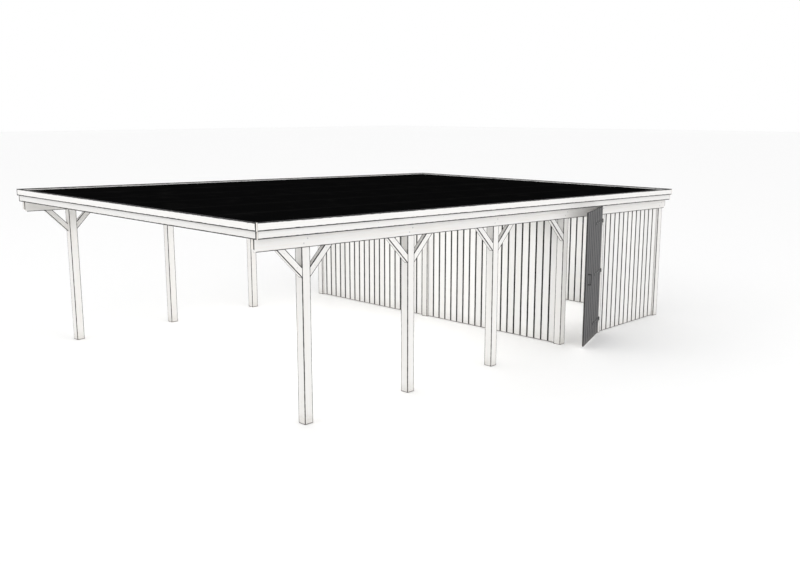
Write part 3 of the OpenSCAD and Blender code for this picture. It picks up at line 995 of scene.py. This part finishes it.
# %% Screw the fascia boards
def screw_fascia(node, axis, way, places, above):
    """Screws through a fascia board, at places along it and heights above its lower edge."""
    low, high = flat_box(node)
    for place in places:
        for height in above:
            spot = [0, 0, low.z + height]
            spot[axis] = high[axis] if way > 0 else low[axis]
            spot[1 - axis] = place
            out = roof_turn.to_3x3() @ ((X, Y)[axis] * way)
            screws["carport"].append((roof_turn @ Vector(spot), out, *BOARD_SCREW))


for row, above in (("lower", (22 * MM, 70 * MM)), ("upper", (24 * MM, 74 * MM))):
    for end, way in (("front", -1), ("back", 1)):
        screw_fascia(f"{row}_fascia_{end}", 1, way, np.linspace(-2.85, 2.85, 12), above)
    for side, way in (("left", -1), ("right", 1)):
        screw_fascia(f"{row}_fascia_{side}", 0, way, rafter_lines[1:-1], above)
print("heads on the frame so far:", len(screws["carport"]))

# %% Screw on the hinge straps and plates
STRAP_SCREW = (6.5 * MM, 2.2 * MM)
STRAP_PLACES = (0.06, 0.16, 0.27, 0.41)
PLATE_SCREW = (5 * MM, 1.6 * MM)
strap_face = hinge.x + (hinge.x - shut_box("door_leaf")[1].x)
plate_face = beam_face + 5 * MM
for z in strap_heights:
    for y in STRAP_PLACES:
        spot = swing @ Vector((strap_face, hinge.y - y, z))
        screws["door"].append((spot, door_out, *STRAP_SCREW))
for plate in solids_of("hinge_hooks"):
    bottom = min(v.co.z for v in plate.verts)
    for z in (bottom + 14 * MM, bottom + 96 * MM):
        for y in (hinge.y + 4 * MM, hinge.y + 28 * MM):
            screws["carport"].append((Vector((plate_face, y, z)), X, *PLATE_SCREW))
print("heads on the door:", len(screws["door"]))

# %% [markdown]
# ### Heads and nuts as rings
# Hundreds of heads as single objects would slow everything down. Each head is a stack of rings joined by
# faces, and all heads of one body go into one mesh. A washer, a nut and a bolt end are stacks of rings as
# well, with twenty, six and fourteen sides.

# %% Helpers for circles and stacked rings
def ring_of(spot, u, v, radius, sides, lift):
    """Points round a spot, in the plane of u and v, raised by lift."""
    turns = (2 * math.pi * i / sides for i in range(sides))
    return [spot + (u * math.cos(turn) + v * math.sin(turn)) * radius + lift for turn in turns]


def stack_faces(base, sides, rings):
    """Faces between stacked rings, with a lid on the last ring and one on the first."""
    faces = []
    for ring in range(rings - 1):
        for i in range(sides):
            j = (i + 1) % sides
            a, b = base + ring * sides, base + (ring + 1) * sides
            faces.append((a + i, a + j, b + j, b + i))
    faces.append([base + (rings - 1) * sides + i for i in range(sides)])
    faces.append([base + i for i in reversed(range(sides))])
    return faces


def plain_mesh(name, points, faces):
    mesh = bpy.data.meshes.new(name)
    mesh.from_pydata(points, [], faces)
    return mesh


print("a washer has", len(stack_faces(0, 20, 3)), "faces")

# %% Make the screw heads
HEAD_SIDES = 10
HEAD_RINGS = ((1.0, -0.2), (0.97, 0.55), (0.78, 1.0), (0.42, 0.95), (0.34, 0.2))  # share of radius and height


def heads_mesh(name, spots):
    """All screw heads of one body as one mesh."""
    points, faces = [], []
    for spot, out, radius, height in spots:
        out = out.normalized()
        u = out.orthogonal().normalized()
        v = out.cross(u)
        faces += stack_faces(len(points), HEAD_SIDES, len(HEAD_RINGS))
        for share, up in HEAD_RINGS:
            points += ring_of(spot, u, v, radius * share, HEAD_SIDES, out * height * up)
    return plain_mesh(name, points, faces)


as_piece("frame_screws", heads_mesh("frame_screws", screws["carport"]), zinc, "carport")
as_piece("door_screws", heads_mesh("door_screws", screws["door"]), zinc, "door")
print("heads:", len(screws["carport"]), "on the frame,", len(screws["door"]), "on the door")

# %% Make the washers, nuts and bolt ends
NUT_STACKS = (  # sides, radius below, radius of the upper rim, from, to
    (20, 20 * MM, 19.2 * MM, 0.0, 2.6 * MM),
    (6, 10.4 * MM, 9.8 * MM, 2.6 * MM, 11 * MM),
    (14, 6 * MM, 5.2 * MM, 11 * MM, 15 * MM))
RIM = 0.8 * MM


def nuts_mesh(name, spots):
    """Round washers with hexagon nuts and bolt ends on the posts' inner faces."""
    points, faces = [], []
    for spot, out in spots:
        u = out.orthogonal().normalized()
        v = out.cross(u)
        for sides, wide, slim, start, end in NUT_STACKS:
            faces += stack_faces(len(points), sides, 3)
            for radius, up in ((wide, start), (wide, end - RIM), (slim, end)):
                points += ring_of(spot, u, v, radius, sides, out * up)
    return plain_mesh(name, points, faces)


as_piece("beam_nuts", nuts_mesh("beam_nuts", nuts), zinc, "carport")
print("nuts:", len(nuts))

# %% Lacquer the hinges and the pull
IRONWORK = ("hinge_straps", "hinge_hooks", "door_pull")
for node in IRONWORK:
    nodes[node].data.materials.clear()
    nodes[node].data.materials.append(black_iron)
print("black iron:", IRONWORK)

# %% [markdown]
# ## Floor
# White timber needs a floor that is nearly as white, or its feet would stand in a grey field. A plane would
# do at any size, but one that ends nearby shows its edge against the sky, so it reaches far out.

# %% Lay a pale floor
FLOOR_REACH = 150.0
mesh = bpy.data.meshes.new("floor")
mesh.from_pydata([(x * FLOOR_REACH, y * FLOOR_REACH, 0) for x, y in ((-1, -1), (1, -1), (1, 1), (-1, 1))],
                 [], [(0, 1, 2, 3)])
floor = bpy.data.objects.new("floor", mesh)
bpy.context.scene.collection.objects.link(floor)
ground, t, shader = plain_finish("pale_floor", 0.9, 0.1)
spot = t.node("ShaderNodeTexCoord").outputs["Object"]
t.tree.links.new(t.mix(t.noise(spot, 3.0, 4.0), (0.955, 0.955, 0.955), (0.965, 0.965, 0.965)),
                 shader.inputs["Base Color"])
mesh.materials.append(ground)
print("floor", 2 * FLOOR_REACH, "m wide")

# %% [markdown]
# ## Light
# A white sky gives most of the light, evenly from all sides, which suits white timber. The lamps only correct
# it: a weak key from the front left, a fill from the front and a stronger one from the right. A roof as wide
# as this one would leave the bay and the store much darker than the outside, so a wide soft panel hangs in
# each, just under the beams. The camera sees none of them. The view transform is the standard one, since the
# filmic one greys whites.

# %% A helper that hangs a soft lamp
def area_light(name, place, target, size, power, length=None):
    """A soft lamp that faces a target: round, or an oblong panel where a length is given."""
    data = bpy.data.lights.new(name, "AREA")
    data.shape, data.size, data.energy = "RECTANGLE" if length else "DISK", size, power
    if length:
        data.size_y = length
    lamp = bpy.data.objects.new(name, data)
    lamp.location = place
    lamp.visible_camera = False
    lamp.rotation_mode = "QUATERNION"
    lamp.rotation_quaternion = (Vector(target) - Vector(place)).to_track_quat("-Z", "Y")
    bpy.context.scene.collection.objects.link(lamp)


print("lamps are hidden from the camera")

# %% Light the sky and hang the lamps
world = bpy.data.worlds.new("pale_sky")
bpy.context.scene.world = world
world.use_nodes = True
world.node_tree.nodes["Background"].inputs["Color"].default_value = (1.0, 1.0, 1.0, 1.0)
world.node_tree.nodes["Background"].inputs["Strength"].default_value = 1.0
area_light("key_light", (-9.0, -22.0, 16.0), (0, -1, 1), 9.0, 350)
area_light("front_fill", (2.0, -24.0, 3.5), (0, 0, 1), 10.0, 500)
area_light("side_fill", (24.0, -3.0, 5.0), (0, 0, 1), 10.0, 800)
area_light("bay_panel", (0.0, -2.75, 1.98), (0.0, -2.75, 0), 5.0, 75, 5.0)
area_light("store_panel", (0.0, 1.5, 1.86), (0.0, 1.5, 0), 4.4, 60, 2.0)
bpy.context.scene.view_settings.view_transform = "Standard"
print("lamps:", len(bpy.data.lights))

# %% [markdown]
# ## Camera
# The building shows best over the corner between the open bay and the door's side, from somewhat above the
# roof: both rows of posts, the store's front, the ajar door and the felt all show at once. The camera is
# turned by its heading and its tilt, which are easier to read than a rotation.

# %% Place the camera
HEADING, TILT = math.radians(44.48), math.radians(10.78)
camera_data = bpy.data.cameras.new("camera")
camera_data.sensor_width = 36.0
camera_data.lens = 40.58
camera_data.clip_end = 500
camera = bpy.data.objects.new("camera", camera_data)
backwards = Vector((math.sin(HEADING) * math.cos(TILT), -math.cos(HEADING) * math.cos(TILT), math.sin(TILT)))
camera.location = (10.710, -11.587, 3.602)
camera.rotation_mode = "QUATERNION"
camera.rotation_quaternion = (-backwards).to_track_quat("-Z", "Y")
bpy.context.scene.collection.objects.link(camera)
bpy.context.scene.camera = camera
print("camera", round(camera.location.z, 2), "m over the ground")
